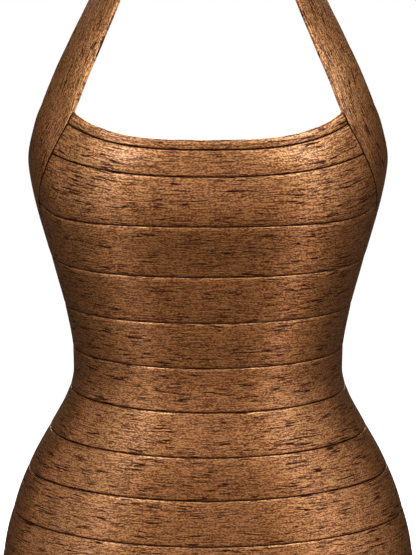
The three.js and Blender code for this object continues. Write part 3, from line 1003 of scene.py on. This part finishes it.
def addSlider():
    seat = formPoint(180.0, slider["height"])
    facing = outwards(seat)
    right, up = np.array([1.0, 0, 0]), np.array([0, -facing[2], facing[1]])
    plateOut = -zipper["tapeDepth"] + cloth["seamGap"] + slider["plate"]
    innerFace = -zipper["tapeDepth"] - zipper["tapeThickness"] - cloth["seamGap"]
    barOut = plateOut + pull["clearance"] + pull["thickness"] / 2
    bridgeTop = barOut + pull["thickness"] / 2 + pull["clearance"]
    scale = (slider["width"] / 2, slider["length"] / 2)
    outline = rounded(np.array(slider["corners"]) * scale)
    bevel = slider["bevel"]
    lofts = []
    for low in (plateOut - slider["plate"], innerFace - slider["plate"]):
        high = low + slider["plate"]
        levels = (
            (low, slider["faceSize"]), (low + bevel, 1), (high - bevel, 1), (high, slider["faceSize"]),
        )
        lofts.append([
            [seat + right * x * size + facing * level + up * z * size for x, z in outline]
            for level, size in levels
        ])
    gapMiddle = (plateOut - slider["plate"] + innerFace) / 2
    postHeight = slider["length"] / 2 - slider["postInset"] - slider["postLength"] / 2
    postDepth = plateOut - slider["plate"] - innerFace + 2 * slider["postSunk"]
    post = (slider["postWidth"], postDepth, slider["postLength"])
    postPlace = seat + facing * gapMiddle + up * postHeight
    lofts.append(boxRings(postPlace, (right, facing, up), post, slider["postBevel"]))

    # the bridge is a bar swept along an arch
    reach, top = slider["bridgeReach"] - slider["bridgeBar"] / 2, bridgeTop + slider["bridgeBar"] / 2
    foot = plateOut - slider["bridgeSunk"]
    arch = rounded([(foot, -reach), (top, -reach), (top, 0), (top, reach), (foot, reach)], 3, closed=False)
    heading = unit(np.gradient(arch, axis=0))
    wide, deep = slider["bridgeWidth"] / 2, slider["bridgeBar"] / 2
    section = rounded([(-wide, -deep), (wide, -deep), (wide, deep), (-wide, deep)], 1)
    bridge = []
    for (out, height), (turnOut, turnUp) in zip(arch, heading):
        aside = facing * turnUp - up * turnOut
        bridge.append([seat + facing * out + up * height + right * a + aside * b for a, b in section])
    shown = addLofts("metal_zip_slider", lofts + [bridge], agedBrass)
    standFor(shown, "zip_slider")
    return seat + facing * barOut


def addPull(axis):
    # a tab swept round its own eye, hanging plumb from the slider's bridge
    top, half = pull["thickness"] / 2, pull["width"] / 2
    eye, long = pull["eyeWidth"] / 2, pull["eyeLength"]
    side = eye + pull["eyeRim"]
    shoulder, fullWidth = -long - pull["shoulder"], -long - pull["fullWidth"]
    tip = np.radians(np.linspace(180, 360, pull["tipPoints"]))
    outline = [(-side, top), (-side, shoulder), (-half, fullWidth)]
    outline += [(half * math.cos(turn), -pull["length"] + half + half * math.sin(turn)) for turn in tip]
    outline += [(half, fullWidth), (side, shoulder), (side, top)]
    hole = [(-eye, -top), (-eye, -long), (eye, -long), (eye, -top)]
    middle = np.array([0, -(top + long) / 2])
    turns = np.radians(np.linspace(0, 360, pull["turns"], endpoint=False))

    def outlineAt(points):
        # where a ray from the eye's middle meets an outline
        points = rounded(points, 2) - middle
        angles = np.unwrap(np.arctan2(points[:, 1], points[:, 0]))
        if angles[-1] < angles[0]:
            points, angles = points[::-1], angles[::-1]
        angles = np.concatenate([angles, [angles[0] + 2 * math.pi]])
        points = np.concatenate([points, points[:1]])
        at = (turns - angles[0]) % (2 * math.pi) + angles[0]
        return np.stack([np.interp(at, angles, points[:, axis]) for axis in (0, 1)], axis=1) + middle

    bevel, thick = pull["bevel"], pull["thickness"] / 2
    rings = []
    for inner, outer in zip(outlineAt(hole), outlineAt(outline)):
        step = (outer - inner) / np.linalg.norm(outer - inner) * bevel
        section = (
            (inner + step, -thick), (inner, bevel - thick), (inner, thick - bevel), (inner + step, thick),
            (outer - step, thick), (outer, thick - bevel), (outer, bevel - thick), (outer - step, -thick),
        )
        rings.append([axis + np.array([place[0], out, place[1]]) for place, out in section])
    shown = addLofts("metal_zip_pull", [rings], agedBrass, closed=True)
    standFor(shown, "zip_pull")


stitch = {
    "fromEdge": 2.8,  # of the cloth
    "pitch": 3.3,
    "length": 2.5,
    "radius": 0.36,
    "rings": ((-1, 0.35, -0.1), (-0.85, 0.8, 0.02), (0, 1, 0.12), (0.85, 0.8, 0.02), (1, 0.35, -0.1)),
    "sides": 6,
    "rowEnd": 2,  # the rows beside the zip end this far above its end
    "crossFrom": 1.6,  # the row below the zip starts this far from the middle
    "crossDrop": 3.5,
    "search": 6,  # the cloth's face is looked for this far out and in
}


def stitchRings(point, facing, heading):
    # a short thread along its heading: each ring has a place, a size and a rise
    aside = np.cross(facing, heading)
    reach, radius = stitch["length"] / 2, stitch["radius"]
    turns = np.radians(np.arange(0, 360, 360 / stitch["sides"]))
    rings = []
    for place, size, rise in stitch["rings"]:
        middle = point + heading * (place * reach) + facing * rise
        ring = [aside * math.cos(turn) + facing * math.sin(turn) for turn in turns]
        rings.append([middle + spoke * radius * size for spoke in ring])
    return rings


def clothFace(cloths, point, facing):
    # the cloth's outer face at a place of the form
    shift = Vector((0, form["napeDepth"], 0))
    start = Vector(point + facing * stitch["search"]) * millimetre - shift * millimetre
    reach = 2 * stitch["search"] * millimetre
    for shown in cloths:
        hit, place, normal, _ = shown.ray_cast(start, Vector(-facing), distance=reach)
        if hit:
            return np.array(place / millimetre + shift), np.array(normal)
    return None


def addStitches():
    # a row down each side of the zip and one across below it
    bpy.context.view_layer.update()
    lofts = []
    fromCentre = zipper["opening"] / 2 + stitch["fromEdge"]
    crossHeight = zipEnd - stitch["crossDrop"]
    for side, sign in (("left", 1), ("right", -1)):
        cloths = [shown for shown in bpy.data.objects if shown.name.startswith("cloth_")]
        cloths = [shown for shown in cloths if shown.name.endswith(side)]
        heights = np.arange(zipper["top"], zipEnd - stitch["rowEnd"], -stitch["pitch"])
        line = formPoint(backEnd(fromCentre, heights), heights) * (sign, 1, 1)
        for point, heading in zip(line, unit(np.gradient(line, axis=0))):
            found = clothFace(cloths, point, outwards(point * (sign, 1, 1)) * (sign, 1, 1))
            if found:
                lofts.append(stitchRings(found[0], found[1], heading))
        for place in np.arange(stitch["crossFrom"], fromCentre, stitch["pitch"]):
            point = formPoint(backEnd(place, crossHeight), crossHeight)
            found = clothFace(cloths, point * (sign, 1, 1), outwards(point) * (sign, 1, 1))
            if found:
                lofts.append(stitchRings(found[0], found[1], np.array([1.0, 0, 0])))
    shown = addLofts("zip_topstitching", lofts, sewingThread)
    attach(shown, "dress")


stop = {"above": (4, 1), "pitch": 1, "shift": 0.5, "size": (5.2, 2.6, 3.2), "bevel": 0.4}


def addStop():
    first, last = (zipEnd + above for above in stop["above"])
    points, facings, ups = chainPlaces(first, last, stop["pitch"], stop["shift"])
    middle = points[0] - facings[0] * middleDepth
    axes = (np.array([1.0, 0, 0]), facings[0], ups[0])
    rings = boxRings(middle, axes, stop["size"], stop["bevel"])
    shown = addLofts("zip_bottom_stop", [rings], agedBrass)
    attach(shown, "dress")


for side, shift in (("left", 0), ("right", 0.5)):
    addTape(side)
    addTeeth(side, shift)
addStop()
addPull(addSlider())
addStitches()
print("zip made")

studio = {
    "eye": (0, -1.208, -0.072),
    "pitch": -11.62,
    "lens": 87.5,
    "sensor": 36,
    "aim": (0, -0.064, -0.35),
    "floorDrop": -1.43,
    "floorReach": 8,
    "pale": (0.9, 0.9, 0.9, 1),
    "white": (1, 1, 1, 1),
    "tints": {"cool": (0.88, 1, 1.12), "plain": (1, 1, 1), "warm": (1, 0.8, 0.68)},
    "lights": (  # name, azimuth, distance, height, width, length, watts, tint
        ("lowLeft", -42, 2, -1.3, 0.45, 0.9, 2.8, "warm"),
        ("lowRight", 46, 2, -1.3, 0.45, 0.9, 4.6, "warm"),
        ("middleLeft", -42, 2, -0.25, 0.45, 1.2, 3.5, "cool"),
        ("middleRight", 46, 2, -0.25, 0.45, 1.2, 3.4, "cool"),
        ("bustLeft", -33, 2, 0.3, 0.3, 0.5, 6.5, "cool"),
        ("bustRight", 41, 2, 0.3, 0.3, 0.5, 5.5, "cool"),
        ("outerLeft", -62, 2, -0.6, 0.45, 1.2, 1.3, "plain"),
        ("outerRight", 64, 2, -0.6, 0.45, 1.2, 1.8, "plain"),
        ("highLeft", -62, 2, 1.1, 0.45, 1, 1, "cool"),
        ("highRight", 64, 2, 1.1, 0.45, 1, 6, "cool"),
        ("tallLeft", -35, 2, 1.2, 0.45, 1, 12.5, "cool"),
        ("tallRight", 35, 2, 1.2, 0.45, 1, 14, "cool"),
        ("rimLeft", -85, 2, -0.2, 0.45, 1.4, 2.3, "warm"),
        ("rimRight", 85, 2, -0.2, 0.45, 1.4, 1.6, "warm"),
        ("frontLow", 0, 2, -0.55, 1.4, 0.8, 4.5, "warm"),
        ("top", 0, 0.9, 1.5, 3, 1.2, 15, "plain"),
        ("back", 180, 1.8, 1.3, 2.6, 1.4, 62, "plain"),
        ("backLow", 180, 2.2, 0.2, 1.4, 1, 18, "plain"),
    ),
    "surround": 0.03,
}


def addLight(name, place, aim, size, watts, tint):
    data = bpy.data.lights.new(name, "AREA")
    data.shape = "RECTANGLE"
    data.size, data.size_y = size
    data.energy = watts
    data.color = studio["tints"][tint]
    light = bpy.data.objects.new(name, data)
    light.location = place
    light.rotation_euler = (Vector(aim) - Vector(place)).to_track_quat("-Z", "Y").to_euler()
    light.visible_camera = False
    bpy.context.scene.collection.objects.link(light)


def addCamera():
    camera = bpy.data.objects.new("camera", bpy.data.cameras.new("camera"))
    camera.data.lens = studio["lens"]
    camera.data.sensor_width = studio["sensor"]
    camera.location = studio["eye"]
    camera.rotation_euler = (math.radians(90 + studio["pitch"]), 0, 0)
    bpy.context.scene.collection.objects.link(camera)
    bpy.context.scene.camera = camera


def addFloor():
    # a white floor that casts no light on the dress
    mesh = bpy.data.meshes.new("floor")
    reach = studio["floorReach"]
    corners = [(-reach, -reach, 0), (reach, -reach, 0), (reach, reach, 0), (-reach, reach, 0)]
    mesh.from_pydata(corners, [], [(0, 1, 2, 3)])
    floor = bpy.data.objects.new("floor", mesh)
    floor.location = (0, 0, studio["floorDrop"])
    bpy.context.scene.collection.objects.link(floor)
    mesh.materials.append(Finish("paleFloor").close({
        "Base Color": studio["pale"],
        "Roughness": 0.9,
        "Emission Color": studio["white"],
        "Emission Strength": 1.0,
    }))
    floor.visible_diffuse = False
    floor.visible_glossy = False


def addSurround():
    # white to the camera, and a faint even glow to the dress
    room = Finish("studio", "worlds")
    bpy.context.scene.world = room.owner
    seen = room.make("ShaderNodeLightPath")
    white = {"Color": studio["white"], "Strength": 1.0}
    backdrop = room.make("ShaderNodeBackground", None, white)
    glow = room.make("ShaderNodeBackground", None, {**white, "Strength": studio["surround"]})
    shown = room.make("ShaderNodeMixShader", None, {0: seen, 1: glow, 2: backdrop})
    room.make("ShaderNodeOutputWorld", None, {"Surface": shown})
    bpy.context.scene.view_settings.view_transform = "Standard"


addCamera()
for name, azimuth, distance, height, width, length, watts, tint in studio["lights"]:
    turn = math.radians(azimuth)
    place = (distance * math.sin(turn), -distance * math.cos(turn), height)
    addLight(name, place, studio["aim"], (width, length), watts, tint)
addFloor()
addSurround()
print("studio made")
